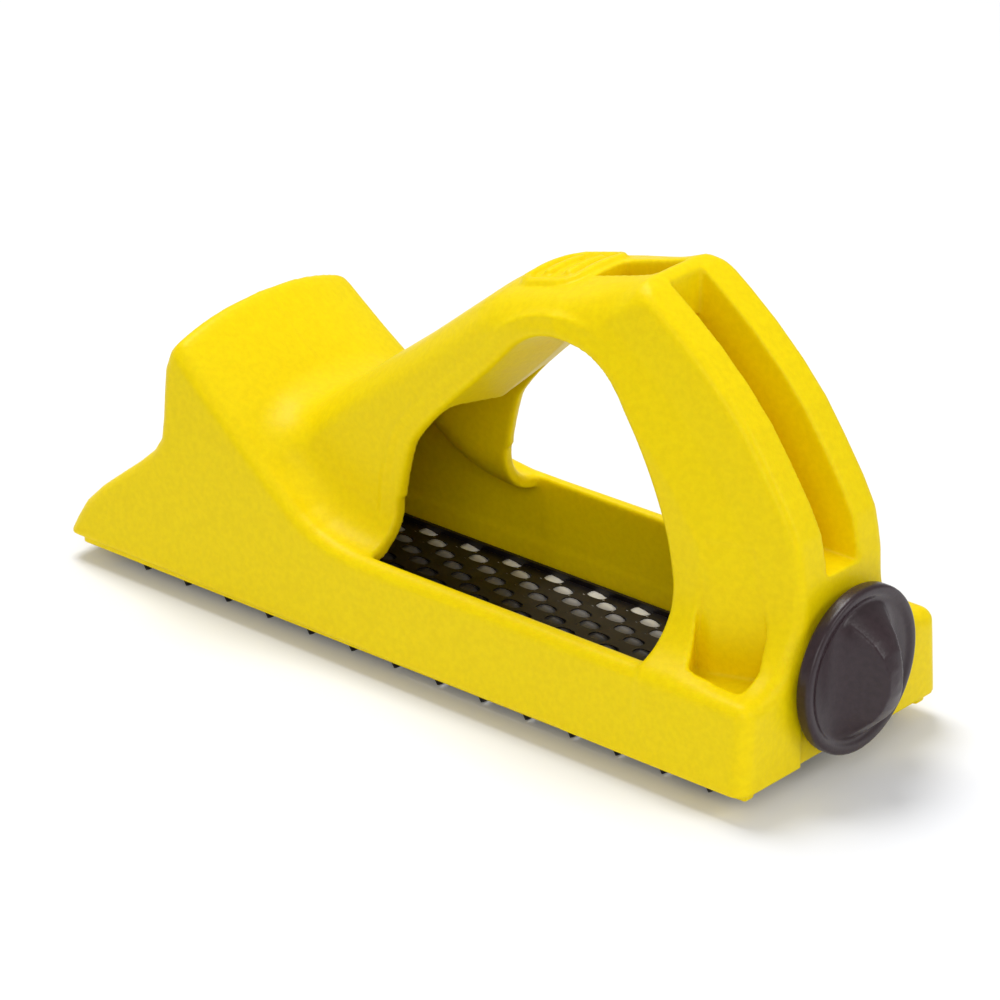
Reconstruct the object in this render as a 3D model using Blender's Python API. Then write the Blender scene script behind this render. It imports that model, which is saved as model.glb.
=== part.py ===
"""Rasp block: a hand-held plastic plane body with a perforated steel rasp blade, held taut by a rear knob.

Frame: +X from the nose to the knob, +Z up, Y across. The origin is at the bottom centre of the whole tool,
on the plane of the tooth tips. All lengths below are in millimetres and turned into metres by MM.
"""

import math

import bmesh
import bpy
from mathutils import Vector

MM = 0.001
GAP = 0.3                    # clearance between pieces that touch on the real tool

# Body shell
NOSE_X, REAR_X = -84.1, 73.1
BOTTOM_Z, RIM_Z = 4.8, 20.9
HALF_WIDTH_NOSE, HALF_WIDTH_REAR = 25.7, 27.5
SIDE_DRAFT = 0.12            # the side walls lean in by this much per millimetre of height
CHANNEL_HALF = 22.3          # the tray's inner walls are parallel to the blade
HORN_ROOM_HALF = 17.6
LIP_Z, LIP_WIDTH = 3.2, 2.2  # the lip inside the bottom edge, beside the blade's flanges
HORN_CROWN = 3.6             # rise of the horn's arched top above its shoulders
HORN_X = (-63.0, -38.0)      # the arch fades out between the horn and the valley

# Handle and rear leg
HANDLE_FLAT, HANDLE_HALF = 10.5, 15.5    # half-widths of the flat top and of the side faces
HANDLE_ROUND = 5.0
CREASE = (35.4, 81.2)        # the highest edge, where the top meets the back of the leg
LEG_TAPER = 18.0             # how far the leg's side faces lie in front of its back face
SLOT_HALF = 4.2              # half-width of the top pocket and of the slot down the back
SLOT_DEPTH, SLOT_BOTTOM_Z = 10.5, 37.2
POCKET_X, POCKET_DEPTH = (22.0, 32.6), 11.0

# Blade
BLADE_TOP, SHEET = 2.9, 0.7
BLADE_X, BLADE_HALF, FLANGE_TOP = (-76.5, 67.6), 22.0, 3.9
TAB_HALF, TAB_TOP = 9.0, 9.4
ROWS, ROW_PITCH, HOLE_PITCH, ROW_SHIFT = 17, 2.536, 10.0, 4.161
ROW_ONE_X = -37.0            # a hole of the first row, on the +Y side
TOOTHED_X = (-72.5, 61.5)
HOLE_LONG, HOLE_WIDE, TOOTH_LONG = 1.9, 1.75, 1.6
TOOTH_ROW_STEP = 4           # solid teeth stand on every fourth row only, to keep the blade's mesh light

# Tension gear
AXIS_Z = 19.9
SCREW_R, SCREW_X = 3.0, (51.4, 79.6)
NUT_R, NUT_HALF, NUT_X = 3.08, 5.0, (57.0, 61.0)
HOOK_SHEET, HOOK_HALF, HOOK_X = 1.5, 7.0, 61.3
PRONG_X, PRONG_TIP, SHELF_Z = 64.9, 3.4, 9.6
FRONT_HOOK_X, FRONT_HOOK_TOP = -75.4, 13.6
KNOB_R, KNOB_RIM, KNOB_X, KNOB_CREST = 14.9, 3.1, 73.9, 84.1
RECESS, RECESS_HALF, RECESS_R = 0.8, 11.3, 15.6
SEGMENTS = 32


def clear_scene():
    for thing in list(bpy.data.objects):
        bpy.data.objects.remove(thing, do_unlink=True)


def material(name, colour, roughness, metallic=0.0):
    made = bpy.data.materials.new(name)
    made.use_nodes = True
    shader = made.node_tree.nodes["Principled BSDF"]
    shader.inputs["Base Color"].default_value = (*colour, 1.0)
    shader.inputs["Roughness"].default_value = roughness
    shader.inputs["Metallic"].default_value = metallic
    made.diffuse_color = (*colour, 1.0)
    return made


def new_object(name, mesh_builder, finish=None):
    mesh_builder.normal_update()
    bmesh.ops.recalc_face_normals(mesh_builder, faces=mesh_builder.faces)
    mesh = bpy.data.meshes.new(name)
    mesh_builder.to_mesh(mesh)
    mesh_builder.free()
    made = bpy.data.objects.new(name, mesh)
    bpy.context.scene.collection.objects.link(made)
    if finish:
        mesh.materials.append(finish)
    return made


def loft(name, rings, finish=None):
    """A closed solid through rings of equal length, each a list of (x, y, z), with flat ends."""
    bm = bmesh.new()
    placed = [[bm.verts.new(Vector(point) * MM) for point in ring] for ring in rings]
    count = len(rings[0])
    for near, far in zip(placed, placed[1:]):
        for i in range(count):
            j = (i + 1) % count
            bm.faces.new((near[i], near[j], far[j], far[i]))
    bm.faces.new(placed[0])
    bm.faces.new(placed[-1])
    bm.normal_update()
    bmesh.ops.triangulate(bm, faces=bm.faces)
    return new_object(name, bm, finish)


def slab(name, outline, low_y, high_y, finish=None):
    """An (x, z) outline extruded along Y."""
    return loft(name, [[(x, y, z) for x, z in outline] for y in (low_y, high_y)], finish)


def block(name, low, high, finish=None):
    outline = [(low[0], low[2]), (high[0], low[2]), (high[0], high[2]), (low[0], high[2])]
    return slab(name, outline, low[1], high[1], finish)


def turned(name, profile, finish=None):
    """A solid turned about the knob's axis from a closed (x, radius) profile."""
    rings = []
    for step in range(SEGMENTS):
        angle = 2 * math.pi * step / SEGMENTS
        rings.append([(x, r * math.cos(angle), AXIS_Z + r * math.sin(angle)) for x, r in profile])
    bm = bmesh.new()
    placed = [[bm.verts.new(Vector(point) * MM) for point in ring] for ring in rings]
    for step in range(SEGMENTS):
        here, there = placed[step], placed[(step + 1) % SEGMENTS]
        for i in range(len(profile)):
            j = (i + 1) % len(profile)
            if profile[i][1] > 0 or profile[j][1] > 0:
                bm.faces.new((here[i], here[j], there[j], there[i]))
    bmesh.ops.remove_doubles(bm, verts=bm.verts, dist=1e-6)
    made = new_object(name, bm, finish)
    made.data.shade_smooth()
    made.data.set_sharp_from_angle(angle=math.radians(35))
    return made


def helper(thing):
    thing.hide_render = True
    thing.display_type = "WIRE"
    return thing


def boolean(target, other, operation):
    helper(other)
    step = target.modifiers.new(other.name, "BOOLEAN")
    step.operation = operation
    step.solver = "EXACT"
    step.object = other


def curve(points, steps=4):
    """A smooth run through a few hand-placed points (Catmull-Rom)."""
    padded = [points[0], *points, points[-1]]
    run = []
    for a, b, c, d in zip(padded, padded[1:], padded[2:], padded[3:]):
        for k in range(steps):
            t = k / steps
            run.append(tuple(
                0.5 * (2 * q + (r - p) * t + (2 * p - 5 * q + 4 * r - s) * t * t
                       + (3 * q - p - 3 * r + s) * t ** 3)
                for p, q, r, s in zip(a, b, c, d)))
    return [*run, points[-1]]


def half_width(x, z):
    along = (x - NOSE_X) / (REAR_X - NOSE_X)
    bottom = HALF_WIDTH_NOSE + (HALF_WIDTH_REAR - HALF_WIDTH_NOSE) * along
    return bottom - SIDE_DRAFT * (z - BOTTOM_Z)


def crown(x, z, across):
    """Extra height of the horn's arched top at this share of the half-width."""
    start, end = HORN_X
    if z < 30.0:
        return 0.0
    fade = min(1.0, max(0.0, (end - x) / (end - start) * 1.6))
    return HORN_CROWN * fade * (1 - abs(across) ** 2.6)


def lower_body():
    """Nose, horn, sloping thumb rest and tray: one side outline between two leaning side walls."""
    nose = curve([(NOSE_X, BOTTOM_Z), (-82.6, 8.2), (-77.0, 15.6), (-67.9, 22.5), (-62.9, 27.0)], 3)
    horn = curve([(-62.3, 30.0), (-62.1, 42.0), (-61.3, 45.6), (-59.3, 47.2), (-56.4, 46.0)], 3)
    rest = curve([(-49.6, 40.4), (-34.8, 29.2), (-28.2, 24.6), (-21.5, 21.6), (-15.0, RIM_Z)], 3)
    outline = [*nose, *horn, *rest, (REAR_X - 1.2, RIM_Z), (REAR_X, RIM_Z - 1.2), (REAR_X, BOTTOM_Z)]
    shares = (-1.0, -0.9, -0.7, -0.35, 0.0, 0.35, 0.7, 0.9, 1.0)
    rings = [[(x, share * half_width(x, z), z + crown(x, z, share)) for x, z in outline]
             for share in shares]
    return loft("body", rings, material("body_plastic", (0.78, 0.62, 0.0), 0.42))


def handle():
    """The sloping arm, the flat top and the curved rear leg, wider in front than at the back."""
    arm = [(-60.0, 20.0), (-50.0, 29.6), (-24.5, 49.4), (2.6, 70.6)]
    top = [(7.6, 73.7), CREASE]
    leg = curve([(43.4, 76.6), (54.8, 67.0), (63.9, 55.9), (70.6, 44.8), (REAR_X - 0.1, 34.0)], 3)
    inside = [(REAR_X - 0.1, 12.0), (50.0, 12.0), (20.0, 30.0), (-20.0, 20.0)]
    outline = [*arm, *top, *leg, *inside]
    first_leg, last_leg = len(arm) + len(top), len(arm) + len(top) + len(leg)
    rings = []
    for side in (-1, 1):
        for turn in (90, 60, 30, 0):
            angle = math.radians(turn)
            y = HANDLE_FLAT + (HANDLE_HALF - HANDLE_FLAT) * math.sin(angle)
            drop = HANDLE_ROUND * (1 - math.cos(angle))
            back = LEG_TAPER * (y - HANDLE_FLAT) / (HANDLE_HALF - HANDLE_FLAT)
            ring = []
            for i, (x, z) in enumerate(outline):
                if i < len(arm):
                    ring.append((x + drop * 0.62, side * y, z - drop * 0.78))
                elif i < first_leg:
                    ring.append((x - back * 0.45 * (i - len(arm)), side * y, z - drop))
                elif i < last_leg:
                    down = (i - first_leg) / len(leg)
                    ring.append((x - back * (0.6 + 0.4 * down), side * y, z - drop * (1 - down)))
                else:
                    ring.append((x, side * y, z))
            rings.append(ring)
        rings = rings if side == -1 else [*rings[:4], *rings[4:][::-1]]
    return loft("handle_form", rings)


def leg_flare():
    """The concave skirt by which the rear leg spreads out onto the tray."""
    steps = ((40.0, 10.8), (33.0, 13.0), (28.0, 16.2), (24.0, 19.8), (21.4, 23.4), (17.5, 24.2))
    rings = []
    for z, half in steps:
        front, back = 50.5, REAR_X - 0.3 - max(0.0, (z - 34.0) * 0.22)
        rings.append([(front, -half, z), (back, -half, z), (back, half, z), (front, half, z)])
    return loft("leg_flare_form", rings)


def finger_opening():
    front = curve([(-12.3, 10.0), (-11.9, 31.0), (-9.6, 40.0), (-3.4, 48.9), (6.9, 59.0), (13.1, 65.4)], 3)
    rear = curve([(22.4, 69.0), (30.6, 66.9), (38.1, 58.3), (44.8, 45.5), (47.8, 34.0), (48.5, 10.0)], 3)
    return slab("finger_cut", [*front, *rear], -30, 30)


def tray_cut():
    """The open underside from nose to rear wall, open upwards below the finger opening."""
    outline = [(-79.6, 0.0), (-79.6, 8.0), (-74.0, 13.6), (-68.0, 17.0), (-14.0, 17.4), (-11.4, 18.2),
               (-11.4, 25.0), (47.6, 25.0), (47.6, 17.4), (69.6, 17.4), (69.6, 0.0)]
    return slab("tray_cut", outline, -CHANNEL_HALF, CHANNEL_HALF)


def horn_room():
    """The hollow under the horn and its slope."""
    outline = [(-68.6, 13.0), (-66.4, 18.4), (-60.0, 24.0), (-58.8, 30.0), (-58.2, 42.2), (-48.0, 34.9),
               (-34.0, 24.6), (-26.0, 18.6), (-20.0, 14.0)]
    return slab("horn_room_cut", outline, -HORN_ROOM_HALF, HORN_ROOM_HALF)


def rear_slot():
    outer = curve([(36.9, 81.0), (43.4, 76.6), (54.8, 67.0), (63.9, 55.9), (70.6, 44.8), (REAR_X, SLOT_BOTTOM_Z)], 3)
    inner = [(x - SLOT_DEPTH * 0.9, z - SLOT_DEPTH * 0.45) for x, z in outer if z > 43]
    beyond = [(x + 6, z + 4) for x, z in outer[::-1]]
    beyond[0] = (REAR_X + 6, SLOT_BOTTOM_Z)
    outline = [*inner, (62.5, SLOT_BOTTOM_Z), *beyond, (37.2, 84.0), (37.2, 78.0)]
    return slab("rear_slot_cut", outline, -SLOT_HALF, SLOT_HALF)


def corner_pocket(side):
    """A curved triangular recess between the leg's foot and the tray's rear corner."""
    outline = [(54.4, 20.4), (65.0, 20.4), (67.0, 23.5), (68.4, 28.6), (62.4, 26.6), (58.0, 30.6), (56.8, 26.6)]
    low, high = sorted((side * 17.6, side * 30.0))
    return slab("corner_pocket_cut", outline, low, high)


def knob_recess():
    """A shallow seat for the knob in the rear face: round above, with straight sides down to the bottom edge."""
    start = math.acos(RECESS_HALF / RECESS_R)
    outline = [(RECESS_HALF, 0.0)]
    for k in range(SEGMENTS + 1):
        angle = -start + (math.pi + 2 * start) * k / SEGMENTS
        outline.append((RECESS_R * math.cos(angle), AXIS_Z + RECESS_R * math.sin(angle)))
    outline.append((-RECESS_HALF, 0.0))
    return loft("knob_recess_cut", [[(x, y, z) for y, z in outline] for x in (REAR_X - RECESS, REAR_X + 5)])


def body():
    made = lower_body()
    grip = handle()
    boolean(grip, finger_opening(), "DIFFERENCE")
    boolean(made, grip, "UNION")
    boolean(made, leg_flare(), "UNION")
    boolean(made, block("lip_form", (-81.0, -CHANNEL_HALF - LIP_WIDTH, LIP_Z), (REAR_X - 1, CHANNEL_HALF + LIP_WIDTH, 8.0)),
            "UNION")
    boolean(made, tray_cut(), "DIFFERENCE")
    boolean(made, horn_room(), "DIFFERENCE")
    boolean(made, block("gear_room_cut", (50.8, -9.5, 10.0), (69.6, 9.5, 29.5)), "DIFFERENCE")
    boolean(made, rear_slot(), "DIFFERENCE")
    pocket = slab("top_pocket_cut", [(POCKET_X[0], 90), (POCKET_X[1], 90), (POCKET_X[1], 80 - POCKET_DEPTH),
                                     (POCKET_X[0] + 8, 76.0 - POCKET_DEPTH + 6)], -SLOT_HALF, SLOT_HALF)
    boolean(made, pocket, "DIFFERENCE")
    for side in (-1, 1):
        boolean(made, corner_pocket(side), "DIFFERENCE")
    boolean(made, knob_recess(), "DIFFERENCE")
    boolean(made, turned("screw_hole_cut", [(60, 0), (60, SCREW_R + 0.5), (80, SCREW_R + 0.5), (80, 0)]),
            "DIFFERENCE")
    boolean(made, block("hook_rib_form", (FRONT_HOOK_X - 2.5, -11.0, 10.6), (FRONT_HOOK_X + 4.0, 11.0, 16.4)),
            "UNION")
    groove = block("hook_groove_cut", (FRONT_HOOK_X - GAP, -8 - GAP, 0), (FRONT_HOOK_X + HOOK_SHEET + GAP, 8 + GAP,
                                                                         FRONT_HOOK_TOP + GAP))
    boolean(made, groove, "DIFFERENCE")
    return made


def holes_of_blade():
    """Where the blade's holes are: rows across, each shifted along X, which leaves slanting lines of teeth."""
    for row in range(ROWS):
        y = ((ROWS - 1) / 2 - row) * ROW_PITCH
        first = ROW_ONE_X + row * ROW_SHIFT
        first -= HOLE_PITCH * math.floor((first - TOOTHED_X[0]) / HOLE_PITCH)
        while first <= TOOTHED_X[1]:
            yield row, first, y
            first += HOLE_PITCH


def rasp_blade():
    """Folded sheet steel: toothed floor, low side flanges and an upturned tab at each end."""
    low = BLADE_TOP - SHEET
    flange = [(-BLADE_HALF, low), (BLADE_HALF, low), (BLADE_HALF, FLANGE_TOP), (BLADE_HALF - SHEET, FLANGE_TOP),
              (BLADE_HALF - SHEET, BLADE_TOP), (-BLADE_HALF + SHEET, BLADE_TOP), (-BLADE_HALF + SHEET, FLANGE_TOP),
              (-BLADE_HALF, FLANGE_TOP)]
    made = loft("rasp_blade", [[(x, y, z) for y, z in flange] for x in BLADE_X],
                material("blade_steel", (0.03, 0.03, 0.035), 0.35, 0.8))
    for name, x in (("front_tab_form", BLADE_X[0] - 0.2), ("rear_tab_form", BLADE_X[1] - SHEET)):
        boolean(made, block(name, (x, -TAB_HALF, low + 0.2), (x + SHEET + 0.2, TAB_HALF, TAB_TOP)), "UNION")
    teeth, cuts = bmesh.new(), bmesh.new()
    for row, x, y in holes_of_blade():
        add_hole(cuts, x, y)
        if row % TOOTH_ROW_STEP == 0:
            add_tooth(teeth, x, y)
    boolean(made, new_object("hole_cut", cuts), "DIFFERENCE")
    boolean(made, new_object("tooth_form", teeth), "UNION")
    return made


def add_hole(bm, x, y):
    corners = ((x - HOLE_LONG, y), (x, y - HOLE_WIDE * 0.62), (x + HOLE_LONG, y), (x, y + HOLE_WIDE * 0.62))
    low, high = ([bm.verts.new(Vector((u, v, z)) * MM) for u, v in corners] for z in (1.0, 4.0))
    bm.faces.new(low[::-1])
    bm.faces.new(high)
    for i in range(4):
        j = (i + 1) % 4
        bm.faces.new((low[i], low[j], high[j], high[i]))


def add_tooth(bm, x, y):
    """A punched tooth: a wedge from the hole's front edge down to a tip at the floor plane."""
    half = HOLE_WIDE * 0.45
    root = x - HOLE_LONG - 0.5
    base = [(root, y - half, BLADE_TOP - 0.3), (root, y + half, BLADE_TOP - 0.3), (root + TOOTH_LONG, y, 0.0),
            (root - TOOTH_LONG * 0.6, y, BLADE_TOP - 0.3)]
    a, b, tip, back = (bm.verts.new(Vector(point) * MM) for point in base)
    for face in ((a, b, tip), (back, b, a), (b, back, tip), (back, a, tip)):
        bm.faces.new(face)


def front_hook():
    """A steel plate in the nose whose lower edge holds the blade's front tab."""
    return block("front_hook", (FRONT_HOOK_X, -8.0, PRONG_TIP), (FRONT_HOOK_X + HOOK_SHEET, 8.0, FRONT_HOOK_TOP),
                 material("zinc_steel", (0.62, 0.62, 0.6), 0.35, 1.0))


def tension_hook():
    """A bent steel clip: the nut pulls its upright plate, and its prong pulls the blade's rear tab."""
    finish = material("hook_steel", (0.6, 0.6, 0.58), 0.35, 1.0)
    outline = [(HOOK_X, SHELF_Z), (PRONG_X, SHELF_Z), (PRONG_X, PRONG_TIP), (PRONG_X + HOOK_SHEET, PRONG_TIP),
               (PRONG_X + HOOK_SHEET, SHELF_Z + HOOK_SHEET), (HOOK_X + HOOK_SHEET, SHELF_Z + HOOK_SHEET),
               (HOOK_X + HOOK_SHEET, 27.0), (HOOK_X, 27.0)]
    made = slab("tension_hook", outline, -HOOK_HALF, HOOK_HALF, finish)
    boolean(made, turned("hook_hole_cut", [(58, 0), (58, SCREW_R + 0.4), (68, SCREW_R + 0.4), (68, 0)]),
            "DIFFERENCE")
    return made


def tension_nut():
    made = block("tension_nut", (NUT_X[0], -NUT_HALF, AXIS_Z - NUT_HALF), (NUT_X[1], NUT_HALF, AXIS_Z + NUT_HALF),
                 material("nut_steel", (0.66, 0.66, 0.64), 0.3, 1.0))
    boolean(made, turned("nut_hole_cut", [(50, 0), (50, NUT_R), (68, NUT_R), (68, 0)]), "DIFFERENCE")
    return made


def tension_screw():
    profile = [(SCREW_X[0], 0), (SCREW_X[1], 0), (SCREW_X[1], SCREW_R), (SCREW_X[0] + 0.8, SCREW_R),
               (SCREW_X[0], SCREW_R - 0.8)]
    return turned("tension_screw", profile, material("screw_steel", (0.6, 0.6, 0.6), 0.3, 1.0))


def ring(name, low_x, high_x, inner, outer, finish):
    return turned(name, [(low_x, inner), (high_x, inner), (high_x, outer), (low_x, outer)], finish)


def knob():
    """A round knob with two scooped finger hollows that leave a ridge across its face."""
    steps = 6
    dome = []
    for k in range(steps + 1):
        angle = math.radians(90 * k / steps)
        dome.append((KNOB_X + KNOB_RIM + (KNOB_CREST - KNOB_X - KNOB_RIM) * math.sin(angle),
                     (KNOB_R - 1.0) * math.cos(angle)))
    profile = [(KNOB_X, 0), (KNOB_X, KNOB_R - 0.7), (KNOB_X + 0.7, KNOB_R), (KNOB_X + KNOB_RIM - 0.8, KNOB_R), *dome]
    made = turned("knob", profile, material("knob_plastic", (0.045, 0.03, 0.035), 0.45))
    for side in (-1, 1):
        cut = turned("finger_hollow_cut", [(0, 0), *[(-9 * math.cos(math.radians(a)), 9 * math.sin(math.radians(a)))
                                                    for a in range(20, 180, 20)], (18, 0)][:-1])
        scale = Vector((1.05, 1.0, 1.5))
        for vertex in cut.data.vertices:
            vertex.co.z -= AXIS_Z * MM
            vertex.co = Vector((vertex.co.x * scale.x, vertex.co.y * scale.y, vertex.co.z * scale.z))
            vertex.co.x += (KNOB_X + KNOB_RIM + 9.6) * MM
            vertex.co.y += side * 10.6 * MM
            vertex.co.z += AXIS_Z * MM
        boolean(made, cut, "DIFFERENCE")
    boolean(made, turned("knob_bore_cut", [(60, 0), (60, SCREW_R + 0.06), (SCREW_X[1] + 0.3, SCREW_R + 0.06),
                                           (SCREW_X[1] + 0.3, 0)]), "DIFFERENCE")
    return made


def main():
    clear_scene()
    body()
    rasp_blade()
    front_hook()
    tension_hook()
    tension_nut()
    tension_screw()
    ring("knob_washer", REAR_X - RECESS + GAP, KNOB_X - GAP, SCREW_R + 0.3, 7.5,
         material("washer_steel", (0.65, 0.65, 0.63), 0.3, 1.0))
    ring("retaining_ring", 68.0, 69.2, SCREW_R + 0.05, 5.4, material("ring_steel", (0.2, 0.2, 0.2), 0.35, 1.0))
    knob()


main()
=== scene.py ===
"""The look of the rasp block: smooth moulded body and knob, full perforated blade, plain studio."""
import math

import bpy
import numpy as np
import openvdb
from mathutils import Matrix, Vector


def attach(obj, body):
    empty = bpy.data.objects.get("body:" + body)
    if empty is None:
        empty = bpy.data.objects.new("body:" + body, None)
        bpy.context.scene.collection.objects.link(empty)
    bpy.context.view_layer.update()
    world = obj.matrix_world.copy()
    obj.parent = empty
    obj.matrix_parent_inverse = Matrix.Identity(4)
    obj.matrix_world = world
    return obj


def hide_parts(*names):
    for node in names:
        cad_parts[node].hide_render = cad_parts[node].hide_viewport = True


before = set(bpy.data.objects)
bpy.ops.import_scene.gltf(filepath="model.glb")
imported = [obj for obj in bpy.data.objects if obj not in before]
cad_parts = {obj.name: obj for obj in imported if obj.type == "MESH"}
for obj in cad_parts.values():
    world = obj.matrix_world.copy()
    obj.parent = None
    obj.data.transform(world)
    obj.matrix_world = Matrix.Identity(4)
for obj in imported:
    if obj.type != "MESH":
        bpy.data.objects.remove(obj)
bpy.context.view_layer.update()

MM = 0.001
BODY_STEP, KNOB_STEP = ((0.5, 0.3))   # grid spacing of the implicit shapes, in mm

# Body, in mm
NOSE_X, REAR_X = -84.2, 73.1                          # ends of the long sides
BOTTOM_Z, RIM_Z = 4.8, 20.9
HALF_NOSE, HALF_REAR, SIDE_DRAFT = 25.7, 27.5, 0.08   # half widths at the bottom, and the sides' lean
REAR_ROUND = 3.0
ARCH_HEIGHT, ARCH_HALF = 3.9, 22.5                    # the horn's top, seen from the front
TRAY_HALF, WALL, ROOM_END_X = 22.2, 2.5, -3.0
HANDLE_HALF, HANDLE_HALF_REAR, CROWN_HALF = 15.6, 11.0, 10.5
SLOT_HALF, OPENING_DRAFT = 4.2, 0.14
BEAD_OFFSET, BEAD_WIDTH, BEAD_HEIGHT = 3.7, 0.55, 0.4   # parting line around the finger opening
SEAM_WIDTH, SEAM_HEIGHT = 0.45, 0.14                  # parting line along the middle of the horn
EMBLEM_X, EMBLEM_CORE, EMBLEM_CORNER, EMBLEM_LIFT = 13.6, (2.6, 4.8), 3.0, 0.9
CORNER_FLOOR_Z, CORNER_TOP_Z, CORNER_HALF = 18.6, 42.0, 22.0   # pocket between the rear leg and the side
AXIS_Z, SCREW_HOLE, SCREW_HOLE_X = 19.9, 3.6, 66.0
SEAT_HALF, SEAT_DEPTH = 11.3, 0.8                     # flat recess behind the knob
SKIRT_Y, SKIRT_HALF, SKIRT_Z = 23.4, 1.3, (3.2, 8.0)  # thin edge that hides the blade's flanges
SKIRT_X, SKIRT_HALF_LENGTH = -4.5, 76.5

# Knob, in mm
KNOB_RADIUS, KNOB_BACK_X, DISH_X = 14.9, 74.0, 76.4
KNOB_CREST = ([0, 2.5, 5.3, 7.6, 9.8, 11.4, 12.8, 15, 20],                   # distance from the axis
              [84.0, 83.7, 82.7, 81.2, 78.9, 77.2, 75.6, 72, 62])            # x of the ridge there

# Blade, in mm
BLADE_TOP, SHEET = 2.9, 0.7
BLADE_FRONT_X, BLADE_REAR_X, BLADE_HALF, FLOOR_HALF = -76.4, 67.5, 21.98, 21.9
ROWS, ROW_PITCH, HOLE_PITCH, ROW_SHIFT, ROW_ONE_X = 17, 2.536, 10.0, 4.161, -37.0
HOLE_HALF_LENGTH, HOLE_HALF_WIDTH = 2.1, 1.36
TOOTHED_X = (-74.0, 63.0)
TONGUE_START, TONGUE_LENGTH, TONGUE_HALF, TONGUE_THICKNESS = -2.2, 4.3, 1.55, 0.3
TONGUE_DIP, EDGE_DIP, EDGE_START = 0.4, 2.1, 0.72     # the slope, and the bend down to the cutting edge
FLANGE, FLANGE_TOP, TAB_HALF, TAB_TOP = 0.68, 3.85, 9.0, 9.4


# ---------------------------------------------------------------- implicit shapes

def grid(low, high, step):
    """Open x, y, z coordinate arrays in mm; y starts at the symmetry plane."""
    xs = np.arange(low[0], high[0] + step, step, dtype=np.float32)
    ys = np.arange(0.0, high[1] + step, step, dtype=np.float32)
    zs = np.arange(low[2], high[2] + step, step, dtype=np.float32)
    return xs[:, None, None], ys[None, :, None], zs[None, None, :]


def polygon_distance(points, x, z):
    """Signed distance to an (x, z) outline, negative inside, on the grid's x and z."""
    px, pz = np.broadcast_arrays(x[:, :, 0], z[0])
    p = np.stack([px, pz], -1).astype(np.float32)
    best = np.full(px.shape, 1e9, np.float32)
    inside = np.zeros(px.shape, bool)
    for a, b in zip(points, [*points[1:], points[0]]):
        a, b = np.array(a, np.float32), np.array(b, np.float32)
        edge = b - a
        along = np.clip(((p - a) @ edge) / max(float(edge @ edge), 1e-9), 0, 1)
        away = p - (a + along[..., None] * edge)
        best = np.minimum(best, (away ** 2).sum(-1))
        crosses = (a[1] > p[..., 1]) != (b[1] > p[..., 1])
        if abs(edge[1]) > 1e-9:
            inside ^= crosses & (p[..., 0] < a[0] + (p[..., 1] - a[1]) * edge[0] / edge[1])
    return (np.where(inside, -1, 1) * np.sqrt(best))[:, None, :]


def line_distance(points, x, z):
    """Unsigned distance to an open (x, z) line."""
    px, pz = np.broadcast_arrays(x[:, :, 0], z[0])
    p = np.stack([px, pz], -1).astype(np.float32)
    best = np.full(px.shape, 1e9, np.float32)
    for a, b in zip(points, points[1:]):
        a, b = np.array(a, np.float32), np.array(b, np.float32)
        edge = b - a
        along = np.clip(((p - a) @ edge) / float(edge @ edge), 0, 1)
        best = np.minimum(best, ((p - (a + along[..., None] * edge)) ** 2).sum(-1))
    return np.sqrt(best)[:, None, :]


def both(a, b, r):
    """Intersection with a round of radius r along the edge."""
    u, v = np.maximum(a + r, 0), np.maximum(b + r, 0)
    return np.minimum(-r, np.maximum(a, b)) + np.sqrt(u * u + v * v)


def either(a, b, r):
    """Union with a fillet of radius r."""
    u, v = np.maximum(r - a, 0), np.maximum(r - b, 0)
    return np.maximum(r, np.minimum(a, b)) - np.sqrt(u * u + v * v)


def cut(a, b, r):
    """The shape a without b, with a round of radius r along the edge."""
    return both(a, -b, r)


def ramp(value, start, end):
    """A smooth step from 0 at start to 1 at end."""
    t = np.clip((value - start) / (end - start), 0, 1)
    return t * t * (3 - 2 * t)


def lifted(flat, lift, step):
    """A profile's (x, 1, z) distances read lower by lift, which raises the shape by that much."""
    count = flat.shape[2]
    place = np.arange(count, dtype=np.float32)[None, None, :] - lift / step
    low = np.clip(np.floor(place), 0, count - 2).astype(np.int32)
    part = np.clip(place - low, 0, 1)
    base = np.broadcast_to(flat, (flat.shape[0], place.shape[1], count))
    below = np.take_along_axis(base, low, 2)
    return below + part * (np.take_along_axis(base, low + 1, 2) - below)


def curve(points, steps):
    """A smooth run through a few given points (Catmull-Rom)."""
    padded = [points[0], *points, points[-1]]
    run = []
    for a, b, c, d in zip(padded, padded[1:], padded[2:], padded[3:]):
        for k in range(steps):
            t = k / steps
            run.append(tuple(
                0.5 * (2 * q + (r - p) * t + (2 * p - 5 * q + 4 * r - s) * t * t
                       + (3 * q - p - 3 * r + s) * t ** 3)
                for p, q, r, s in zip(a, b, c, d)))
    return [*run, points[-1]]


def mesh_of(name, half, low, step):
    """The zero surface of a field given for y >= 0, mirrored, as a smooth mesh in metres."""
    whole = np.concatenate([half[:, :0:-1], half], 1)
    cells = openvdb.FloatGrid(3.0 * step)
    cells.copyFromArray(np.ascontiguousarray(np.clip(whole, -3 * step, 3 * step), np.float32))
    points, triangles, quads = cells.convertToPolygons(isovalue=0.0, adaptivity=0.0)
    origin = np.array([low[0], -(half.shape[1] - 1) * step, low[2]])
    points = (points * step + origin) * MM
    faces = [tuple(corners[::-1]) for polygons in (triangles, quads) for corners in polygons.tolist()]
    mesh = bpy.data.meshes.new(name)
    mesh.from_pydata(points.tolist(), [], faces)
    mesh.validate()
    made = bpy.data.objects.new(name, mesh)
    bpy.context.scene.collection.objects.link(made)
    mesh.shade_smooth()
    return made


# ---------------------------------------------------------------- body

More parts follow.
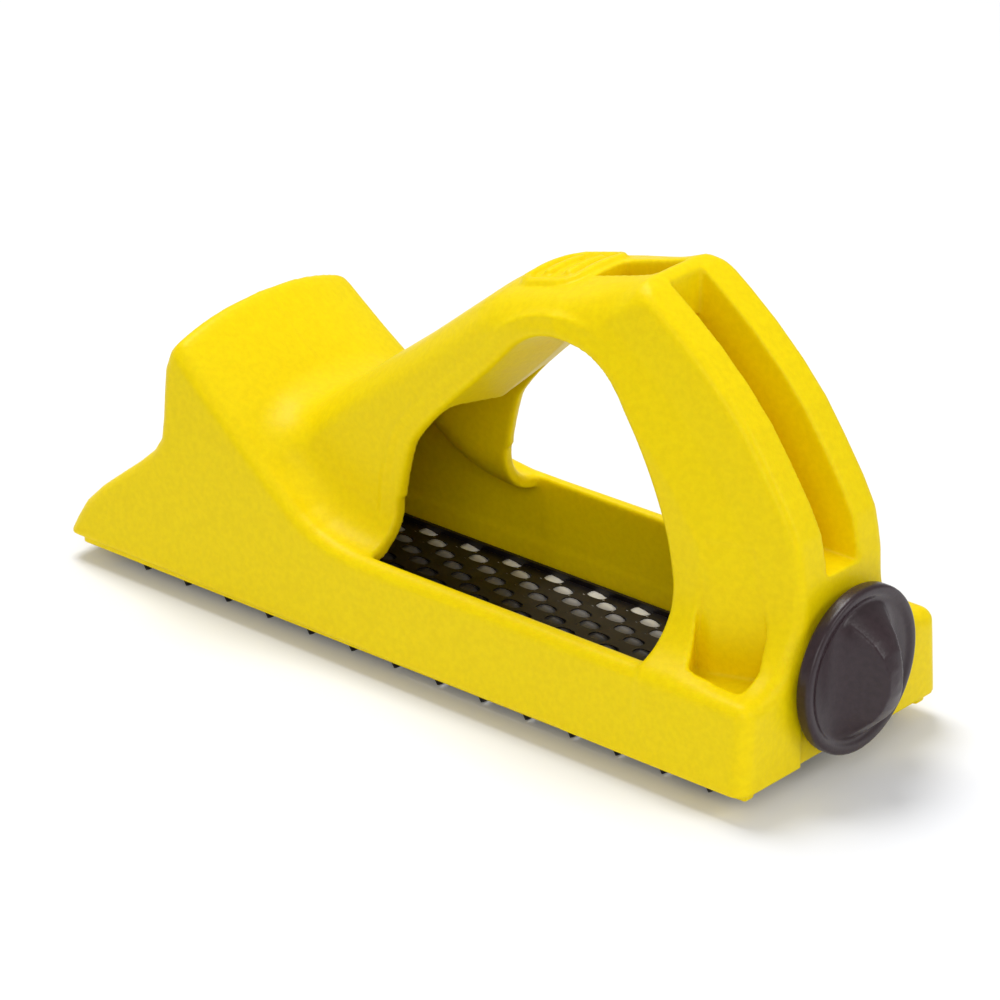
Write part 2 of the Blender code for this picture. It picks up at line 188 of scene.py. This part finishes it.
OPENING = [(-12.6, 20.0), (-12.4, 29.0), (-12.0, 32.7), (-10.5, 39.0), (-8.9, 42.2), (-3.8, 48.3),
           (6.5, 58.5), (12.9, 65.3), (17.3, 68.2), (21.4, 69.2), (25.0, 69.1), (29.4, 67.7), (33.6, 64.6),
           (38.1, 58.7), (42.0, 51.9), (44.8, 45.7), (46.6, 40.5), (47.8, 34.7), (48.5, 28.4), (48.7, 20.0)]
REAR_LINE = [(35.6, 81.4), (38.0, 80.3), (43.3, 76.6), (49.1, 72.1), (54.8, 66.9), (59.8, 61.5), (63.9, 55.8),
             (68.1, 49.5), (70.7, 44.7), (72.9, 37.1), (73.4, 30.0), (73.4, 10.0)]


def emblem(x, y):
    """A plain raised frame with two bars on the top face: 1 on the relief, 0 off it."""
    along = np.abs(x - EMBLEM_X)
    u, v = along - EMBLEM_CORE[0], y - EMBLEM_CORE[1]
    edge = np.sqrt(np.maximum(u, 0) ** 2 + np.maximum(v, 0) ** 2) + np.minimum(np.maximum(u, v), 0)
    ring = 1 - ramp(np.abs(edge - EMBLEM_CORNER), 0.6, 1.1)
    bars = (1 - ramp(np.abs(along - 2.2), 0.5, 1.0)) * (1 - ramp(y, 4.6, 5.2))
    return np.maximum(ring, bars)


def lower_form(x, y, z, step):
    """The nose, the horn and the long sides, solid."""
    nose = [(NOSE_X - 2, -6.0), (-86.0, 1.6), (NOSE_X, BOTTOM_Z), (-82.6, 8.1), (-80.6, 11.5), (-76.9, 15.3),
            (-73.1, 18.4), (-67.9, 22.6), (-64.2, 26.0), (-62.4, 29.0)]
    horn = [(-62.1, 33.0), (-62.1, 37.3), (-62.0, 42.1), (-61.0, 45.1), (-59.6, 46.6), (-58.3, 46.7),
            (-57.0, 45.9), (-54.5, 43.9), (-49.6, 40.1), (-44.2, 36.1)]
    rim = [(-34.8, 29.1), (-28.2, 24.6), (-24.2, 22.7), (-20.2, 21.6), (-15.5, 21.0), (-8.0, RIM_Z)]
    side = polygon_distance([*nose, *horn, *rim, (90.0, RIM_Z), (90.0, -6.0)], x, z)
    along = (x - NOSE_X) / (REAR_X - NOSE_X)
    half = HALF_NOSE + (HALF_REAR - HALF_NOSE) * along - SIDE_DRAFT * (z - BOTTOM_Z)
    fade = (1 - ramp(x, -44, -26)) * ramp(z, 27, 36)
    arch = ARCH_HEIGHT * fade * (1 - np.minimum(y / ARCH_HALF, 1) ** 2.4)
    return both(lifted(side, arch, step), (y - half) / math.hypot(1, SIDE_DRAFT), 2.3)


def handle_half(x, z):
    """Half width of the handle, which narrows towards its rear line."""
    inward = line_distance([*REAR_LINE, (73.4, 0.0)], x, z)
    return np.minimum(HANDLE_HALF_REAR + 0.2 * inward + 0.16 * np.maximum(inward - 9.0, 0), HANDLE_HALF)


def handle_form(x, y, z, half, step):
    """The looped handle with its rear leg, solid; its crown falls to both sides."""
    arm = [(-48.0, 30.0), (-40.0, 36.6), (-24.5, 49.1), (-12.7, 58.2), (-2.9, 66.2), (3.6, 71.5), (6.2, 73.1),
           (9.5, 74.3), (22.6, 77.8), (34.6, 81.15)]
    outline = polygon_distance([*arm, *REAR_LINE, (20.0, 10.0), (-40.0, 10.0), (-60.0, 18.0)], x, z)
    sag = -1.3 * np.minimum(y / CROWN_HALF, 1.3) ** 2 * (1 - ramp(x, 30, 38))
    edge_round = 5.2 - 3.7 * ramp(x - 0.4 * (z - 78), 31, 40)
    return both(lifted(outline, sag + EMBLEM_LIFT * emblem(x, y), step), y - half, edge_round)


def hollow_form(x, y, z, outer):
    """The tray over the blade, joined to the room inside the horn and the handle's arm."""
    tray = polygon_distance([(-79.6, 0.0), (-79.6, 8.0), (-75.0, 13.0), (-68.0, 18.0), (-14.4, 17.4),
                             (-13.0, 18.0), (-12.8, 29.3), (48.5, 28.4), (48.6, 17.4), (69.6, 17.4),
                             (69.6, 0.0)], x, z)
    narrowing = 9.0 * ramp(x, -12, -6)
    room = np.maximum(both(outer + WALL, x - ROOM_END_X, 2.0), y - TRAY_HALF + narrowing)
    return either(both(tray, y - TRAY_HALF, 1.0), room, 0.4)


def pockets(x, y, z, half):
    """Each pocket in the outside, with the round of its edge."""
    slot_rim = [(px + 3, pz + 2) for px, pz in REAR_LINE[1:9]]
    slot_bed = [(px - 9.4, pz - 5.2) for px, pz in REAR_LINE[1:9]]
    rear_slot = polygon_distance([(37.6, 88.0), *slot_rim, (80.0, 44.0), (80.0, 37.2), (62.8, 37.2),
                                  *slot_bed[::-1], (37.6, 72.0)], x, z)
    yield both(rear_slot, y - SLOT_HALF, 0.8), 0.5

    pocket_side = [(21.6, 90.0), (34.4, 90.0), (34.4, 70.8), (24.0, 70.8), (21.6, 73.0)]
    top_pocket = polygon_distance(pocket_side, x, z)
    yield both(top_pocket, y - SLOT_HALF, 0.8), 0.5

    front = 52.6 + 0.58 * (y - 14.0) + 0.05 * np.maximum(z - 21, 0)
    rear = 67.2 + 0.5 * np.maximum(0, 25 - z) * ramp(z, 18, 25) - 0.25 * np.maximum(z - 25, 0)
    corner = both(both(front - x, x - rear, 1.0), both(half - 0.1 - y, y - CORNER_HALF, 0.5), 0.5)
    yield np.maximum(both(corner, CORNER_FLOOR_Z - z, 0.4), z - CORNER_TOP_Z), 0.6

    seat = np.maximum(y - SEAT_HALF, z - AXIS_Z)
    yield np.maximum(seat, REAR_X - SEAT_DEPTH - x), 0.3

    radial = np.sqrt(y * y + (z - AXIS_Z) ** 2)
    yield np.maximum(radial - SCREW_HOLE, SCREW_HOLE_X - x), 0.2


def body_field(x, y, z, step):
    """The whole moulding: outer form, finger opening, hollow, pockets and skirt."""
    half = handle_half(x, z)
    lower = lower_form(x, y, z, step)
    handle = handle_form(x, y, z, half, step)
    seam = SEAM_HEIGHT * np.exp(-(y / SEAM_WIDTH) ** 2) * ramp(z, 30, 34) * (1 - ramp(x, -46, -42))
    fillet = 7.0 + 6.0 * ramp(x, 20, 50)
    outer = both(either(lower - seam, handle, fillet), x - REAR_X, REAR_ROUND)

    opening = polygon_distance([(OPENING[0][0], 0.0), *curve(OPENING, 3), (OPENING[-1][0], 0.0)], x, z)
    drafted = opening + OPENING_DRAFT * (HANDLE_HALF - np.minimum(y, HANDLE_HALF))
    bead = BEAD_HEIGHT * np.exp(-((opening - BEAD_OFFSET) / BEAD_WIDTH) ** 2)
    bead = bead * (1 - ramp(x, 22, 34)) * ramp(z, 22, 27)
    grip = cut(outer - bead, drafted, 1.1)

    shell = np.minimum(grip, both(lower, x - REAR_X, REAR_ROUND))
    shell = cut(shell, hollow_form(x, y, z, outer), 0.7)
    for pocket, edge in pockets(x, y, z, half):
        shell = cut(shell, pocket, edge)
    shell = both(shell, BOTTOM_Z - z, 0.35)

    ends = np.abs(x - SKIRT_X) - SKIRT_HALF_LENGTH
    height = np.maximum(SKIRT_Z[0] - z, z - SKIRT_Z[1])
    skirt = both(np.abs(y - SKIRT_Y) - SKIRT_HALF, np.maximum(ends, height), 0.2)
    return np.minimum(shell, skirt)


def body_piece():
    low, high = (-86.5, 0.0, 2.0), (75.5, 29.5, 84.0)
    return mesh_of("body_shell", body_field(*grid(low, high, BODY_STEP), BODY_STEP), low, BODY_STEP)


# ---------------------------------------------------------------- knob

def knob_field(x, y, z):
    """A dished disc with a domed ridge across it, which is narrowest at the axis."""
    rise = z - AXIS_Z
    radial = np.sqrt(y * y + rise * rise)
    crest = np.interp(radial, *KNOB_CREST)
    waist = 1.9 + 4.6 * (rise / 14) ** 2
    fall = 1 - (1 - np.clip((y - waist) / np.maximum(10.5 - waist, 1), 0, 1)) ** 2.4
    lip = DISH_X + 0.45 * ramp(radial, 12.4, 13.6)
    face = np.maximum(crest * (1 - fall) + DISH_X * fall, lip).astype(np.float32)
    disc = both(radial - KNOB_RADIUS, KNOB_BACK_X - x, 0.7)
    return both(disc, (x - face) * 0.62, 0.5)


def knob_piece():
    low, high = (73.0, 0.0, 4.0), (85.0, 16.0, 36.0)
    return mesh_of("knob_grip", knob_field(*grid(low, high, KNOB_STEP)), low, KNOB_STEP)


# ---------------------------------------------------------------- blade

def plain_object(name, points, faces):
    """A mesh object from points in mm."""
    mesh = bpy.data.meshes.new(name)
    mesh.from_pydata([tuple(c * MM for c in p) for p in points], [], faces)
    made = bpy.data.objects.new(name, mesh)
    bpy.context.scene.collection.objects.link(made)
    return made


def holes():
    """The centre (x, y) of each hole, row by row."""
    for row in range(ROWS):
        at = ROW_ONE_X + row * ROW_SHIFT
        at -= HOLE_PITCH * math.floor((at - TOOTHED_X[0]) / HOLE_PITCH)
        while at <= TOOTHED_X[1]:
            yield at, ((ROWS - 1) / 2 - row) * ROW_PITCH
            at += HOLE_PITCH


def hole_outline(at, across):
    """A rounded lens, longer along the blade."""
    points = []
    for k in range(16):
        angle = 2 * math.pi * k / 16
        u, v = math.cos(angle), math.sin(angle)
        points.append((at + HOLE_HALF_LENGTH * math.copysign(abs(u) ** 0.8, u),
                       across + HOLE_HALF_WIDTH * math.copysign(abs(v) ** 0.8, v)))
    return points


def blade_sheet():
    """The perforated floor of the blade, filled by a flat curve with one ring for each hole."""
    flat = bpy.data.curves.new("blade_sheet", "CURVE")
    flat.dimensions = "2D"
    flat.fill_mode = "BOTH"
    flat.extrude = SHEET / 2 * MM
    rings = [[(BLADE_FRONT_X, -FLOOR_HALF), (BLADE_REAR_X, -FLOOR_HALF), (BLADE_REAR_X, FLOOR_HALF),
              (BLADE_FRONT_X, FLOOR_HALF)], *(hole_outline(at, across) for at, across in holes())]
    for ring in rings:
        line = flat.splines.new("POLY")
        line.points.add(len(ring) - 1)
        for point, (u, v) in zip(line.points, ring):
            point.co = (u * MM, v * MM, 0, 1)
        line.use_cyclic_u = True
    temp = bpy.data.objects.new("blade_sheet_curve", flat)
    temp.location.z = (BLADE_TOP - SHEET / 2) * MM
    bpy.context.scene.collection.objects.link(temp)
    bpy.context.view_layer.update()
    mesh = bpy.data.meshes.new_from_object(temp.evaluated_get(bpy.context.evaluated_depsgraph_get()))
    mesh.transform(temp.matrix_world)
    made = bpy.data.objects.new("blade_sheet", mesh)
    bpy.context.scene.collection.objects.link(made)
    bpy.data.objects.remove(temp)
    return made


def teeth():
    """Under each hole, a punched tongue that dips from the hole's front end to a cutting edge at the back."""
    points, faces = [], []
    for at, across in holes():
        base = len(points)
        top = []
        for i in range(5):
            t = i / 4
            u = at + TONGUE_START + TONGUE_LENGTH * t
            bend = max(0.0, t - EDGE_START) / (1 - EDGE_START)
            height = BLADE_TOP - 0.2 - TONGUE_DIP * t - EDGE_DIP * bend
            half = TONGUE_HALF - 0.5 * max(0.0, t - 0.5)
            for j in range(5):
                s = j / 2 - 1
                top.append((u, across + half * s, height + 0.25 * s * s))
        underside = [(u, v, w - TONGUE_THICKNESS + 0.28 * (n // 5) / 4) for n, (u, v, w) in enumerate(top)]
        points += top + underside
        under = len(top)
        for i in range(4):
            for j in range(4):
                a = base + 5 * i + j
                b = a + under
                faces += [(a, a + 5, a + 6, a + 1), (b, b + 1, b + 6, b + 5)]
        ring = [*range(0, 5), *(5 * i + 4 for i in range(1, 5)), *range(23, 19, -1),
                *(5 * i for i in range(3, 0, -1))]
        for p, q in zip(ring, [*ring[1:], ring[0]]):
            faces.append((base + p, base + q, base + q + under, base + p + under))
    points = [(u, v, max(w, 0.02)) for u, v, w in points]
    made = plain_object("blade_teeth", points, faces)
    made.data.shade_smooth()
    return made


def blade_edges():
    """The folded side flanges and the upturned end tabs."""
    inner = BLADE_HALF - FLANGE
    bars = [((BLADE_FRONT_X, inner, 2.4), (BLADE_REAR_X, BLADE_HALF, FLANGE_TOP)),
            ((BLADE_FRONT_X, -BLADE_HALF, 2.4), (BLADE_REAR_X, -inner, FLANGE_TOP)),
            ((-76.6, -TAB_HALF, 2.3), (-75.9, TAB_HALF, TAB_TOP)),
            ((66.9, -TAB_HALF, 2.3), (67.6, TAB_HALF, TAB_TOP))]
    box_faces = [(0, 1, 3, 2), (4, 6, 7, 5), (0, 4, 5, 1), (2, 3, 7, 6), (0, 2, 6, 4), (1, 5, 7, 3)]
    points, faces = [], []
    for a, b in bars:
        first = len(points)
        points += [(u, v, w) for u in (a[0], b[0]) for v in (a[1], b[1]) for w in (a[2], b[2])]
        faces += [tuple(first + corner for corner in face) for face in box_faces]
    return plain_object("blade_edges", points, faces)


body_shape, knob_shape = body_piece(), knob_piece()
sheet, tongue, flange = blade_sheet(), teeth(), blade_edges()


# ---------------------------------------------------------------- materials

def new_material(name):
    made = bpy.data.materials.new(name)
    made.use_nodes = True
    return made, made.node_tree.nodes, made.node_tree.links, made.node_tree.nodes["Principled BSDF"]


def grain(nodes, links, shader, scale, strength, distance):
    """A fine bump; returns the texture coordinates for the next use."""
    place = nodes.new("ShaderNodeTexCoord")
    noise = nodes.new("ShaderNodeTexNoise")
    noise.inputs["Scale"].default_value = scale
    noise.inputs["Detail"].default_value = 3.0
    bump = nodes.new("ShaderNodeBump")
    bump.inputs["Strength"].default_value = strength
    bump.inputs["Distance"].default_value = distance
    links.new(place.outputs["Object"], noise.inputs["Vector"])
    links.new(noise.outputs["Fac"], bump.inputs["Height"])
    links.new(bump.outputs["Normal"], shader.inputs["Normal"])
    return place


def toned(nodes, links, shader, place, scale, dark, light):
    """The base colour wanders between two near tones."""
    noise = nodes.new("ShaderNodeTexNoise")
    noise.inputs["Scale"].default_value = scale
    noise.inputs["Detail"].default_value = 4.0
    tones = nodes.new("ShaderNodeValToRGB")
    tones.color_ramp.elements[0].position, tones.color_ramp.elements[1].position = 0.35, 0.65
    tones.color_ramp.elements[0].color = (*dark, 1)
    tones.color_ramp.elements[1].color = (*light, 1)
    links.new(place.outputs["Object"], noise.inputs["Vector"])
    links.new(noise.outputs["Fac"], tones.inputs["Fac"])
    links.new(tones.outputs["Color"], shader.inputs["Base Color"])


def plastic(name, dark, light, roughness, strength, specular, subsurface=0.0):
    made, nodes, links, shader = new_material(name)
    place = grain(nodes, links, shader, 2200.0, strength, 0.00012)
    toned(nodes, links, shader, place, 900.0, dark, light)
    shader.inputs["Roughness"].default_value = roughness
    shader.inputs["Specular IOR Level"].default_value = specular
    if subsurface:
        shader.inputs["Subsurface Weight"].default_value = subsurface
        shader.inputs["Subsurface Radius"].default_value = (1.0, 0.55, 0.05)
        shader.inputs["Subsurface Scale"].default_value = 0.002
    return made


def metal(name, dark, light, roughness, metallic=1.0):
    made, nodes, links, shader = new_material(name)
    place = grain(nodes, links, shader, 1800.0, 0.12, 0.00005)
    toned(nodes, links, shader, place, 260.0, dark, light)
    shader.inputs["Roughness"].default_value = roughness
    shader.inputs["Metallic"].default_value = metallic
    return made


def tooth_metal_with_painted_light():
    """Ground steel with painted light: painted shade keeps it dark along the middle of the blade, and a
    painted reflection makes it bright towards its +Y side.
    """
    made, nodes, links, shader = new_material("tooth_steel_painted_light")
    place = grain(nodes, links, shader, 1800.0, 0.1, 0.00005)
    split = nodes.new("ShaderNodeSeparateXYZ")
    scaled = nodes.new("ShaderNodeMapRange")
    scaled.inputs["From Min"].default_value = 0.0
    scaled.inputs["From Max"].default_value = 0.0215
    tones = nodes.new("ShaderNodeValToRGB")
    # Colour by the blade's Y position: painted shade towards the middle, a painted reflection towards +Y.
    painted_light_stops = tones.color_ramp.elements
    painted_light_stops[0].position, painted_light_stops[0].color = 0.4, (0.03, 0.028, 0.03, 1)
    painted_light_stops[1].position, painted_light_stops[1].color = 0.93, (0.97, 0.97, 0.96, 1)
    for position, colour in ((0.82, (0.42, 0.41, 0.415, 1)), (0.7, (0.17, 0.165, 0.17, 1))):
        painted_light_stops.new(position).color = colour
    links.new(place.outputs["Object"], split.inputs["Vector"])
    links.new(split.outputs["Y"], scaled.inputs["Value"])
    links.new(scaled.outputs["Result"], tones.inputs["Fac"])
    links.new(tones.outputs["Color"], shader.inputs["Base Color"])
    shader.inputs["Roughness"].default_value = 0.4
    shader.inputs["Metallic"].default_value = 0.05
    return made


yellow = plastic("yellow_plastic", (0.83, 0.625, 0.0), (0.88, 0.67, 0.0), 0.42, 0.4, 0.12, subsurface=0.15)
dark = plastic("dark_plastic", (0.020, 0.008, 0.011), (0.028, 0.013, 0.017), 0.34, 0.2, 0.45)
blackened = metal("blackened_steel", (0.012, 0.009, 0.011), (0.024, 0.020, 0.022), 0.42, 0.4)
zinc = metal("zinc_plate", (0.50, 0.50, 0.49), (0.66, 0.66, 0.64), 0.34)
ring_metal = metal("ring_plate", (0.10, 0.10, 0.10), (0.18, 0.18, 0.18), 0.4)
# The tongues' colour is painted shade and a painted reflection, not the steel's own.
tooth_painted_light = tooth_metal_with_painted_light()

for piece, finish in ((body_shape, yellow), (knob_shape, dark), (sheet, blackened), (flange, blackened),
                      (tongue, tooth_painted_light)):
    piece.data.materials.clear()
    piece.data.materials.append(finish)
for node in ("front_hook", "tension_hook", "tension_nut", "tension_screw", "knob_washer"):
    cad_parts[node].material_slots[0].material = zinc
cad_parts["retaining_ring"].material_slots[0].material = ring_metal

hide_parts("body")
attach(body_shape, "body")
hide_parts("knob")
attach(knob_shape, "knob")
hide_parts("rasp_blade")
for piece in (sheet, tongue, flange):
    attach(piece, "blade")


# ---------------------------------------------------------------- studio

def camera():
    """The photograph's view."""
    azimuth, elevation, roll = math.radians(40.546), math.radians(24.923), math.radians(0.249)
    level = math.cos(elevation)
    back = Vector((math.sin(azimuth) * level, -math.cos(azimuth) * level, math.sin(elevation)))
    right = (-back).cross(Vector((0, 0, 1))).normalized()
    up = right.cross(-back)
    turned_right = math.cos(roll) * right + math.sin(roll) * up
    turned_up = -math.sin(roll) * right + math.cos(roll) * up
    data = bpy.data.cameras.new("camera")
    data.lens, data.sensor_width = 193.46, 36.0
    data.clip_start, data.clip_end = 0.05, 10.0
    made = bpy.data.objects.new("camera", data)
    turn = Matrix((turned_right, turned_up, back)).transposed().to_4x4()
    made.matrix_world = Matrix.Translation((0.5491, -0.6450, 0.4213)) @ turn
    bpy.context.scene.collection.objects.link(made)
    bpy.context.scene.camera = made


def area_light(name, place, target, size, power):
    data = bpy.data.lights.new(name, "AREA")
    data.shape, data.size, data.energy = "DISK", size, power
    made = bpy.data.objects.new(name, data)
    made.location = place
    made.rotation_euler = (Vector(target) - Vector(place)).to_track_quat("-Z", "Y").to_euler()
    bpy.context.scene.collection.objects.link(made)


def floor():
    """White paper, which glows faintly so that it stays white out to the edges."""
    far = 3000
    corners = [(-far, -far, 0), (far, -far, 0), (far, far, 0), (-far, far, 0)]
    made = plain_object("floor", corners, [(0, 1, 2, 3)])
    paper, _, _, shader = new_material("floor_paper")
    shader.inputs["Base Color"].default_value = (0.86, 0.87, 0.9, 1)
    shader.inputs["Roughness"].default_value = 0.9
    shader.inputs["Emission Color"].default_value = (1, 1, 1, 1)
    shader.inputs["Emission Strength"].default_value = 0.05
    made.data.materials.append(paper)


camera()
floor()
area_light("key", (-0.3, 0.1, 0.9), (0, 0, 0.03), 0.5, 6.0)
area_light("rear", (0.8, 0.2, 0.5), (0, 0, 0.04), 0.4, 1.8)
area_light("fill", (0.5, -0.75, 0.5), (0, 0, 0.03), 0.6, 2.7)
world = bpy.data.worlds.new("studio")
world.use_nodes = True
world.node_tree.nodes["Background"].inputs["Color"].default_value = (1, 1, 1, 1)
world.node_tree.nodes["Background"].inputs["Strength"].default_value = 0.42
bpy.context.scene.world = world
bpy.context.scene.view_settings.view_transform = "Standard"
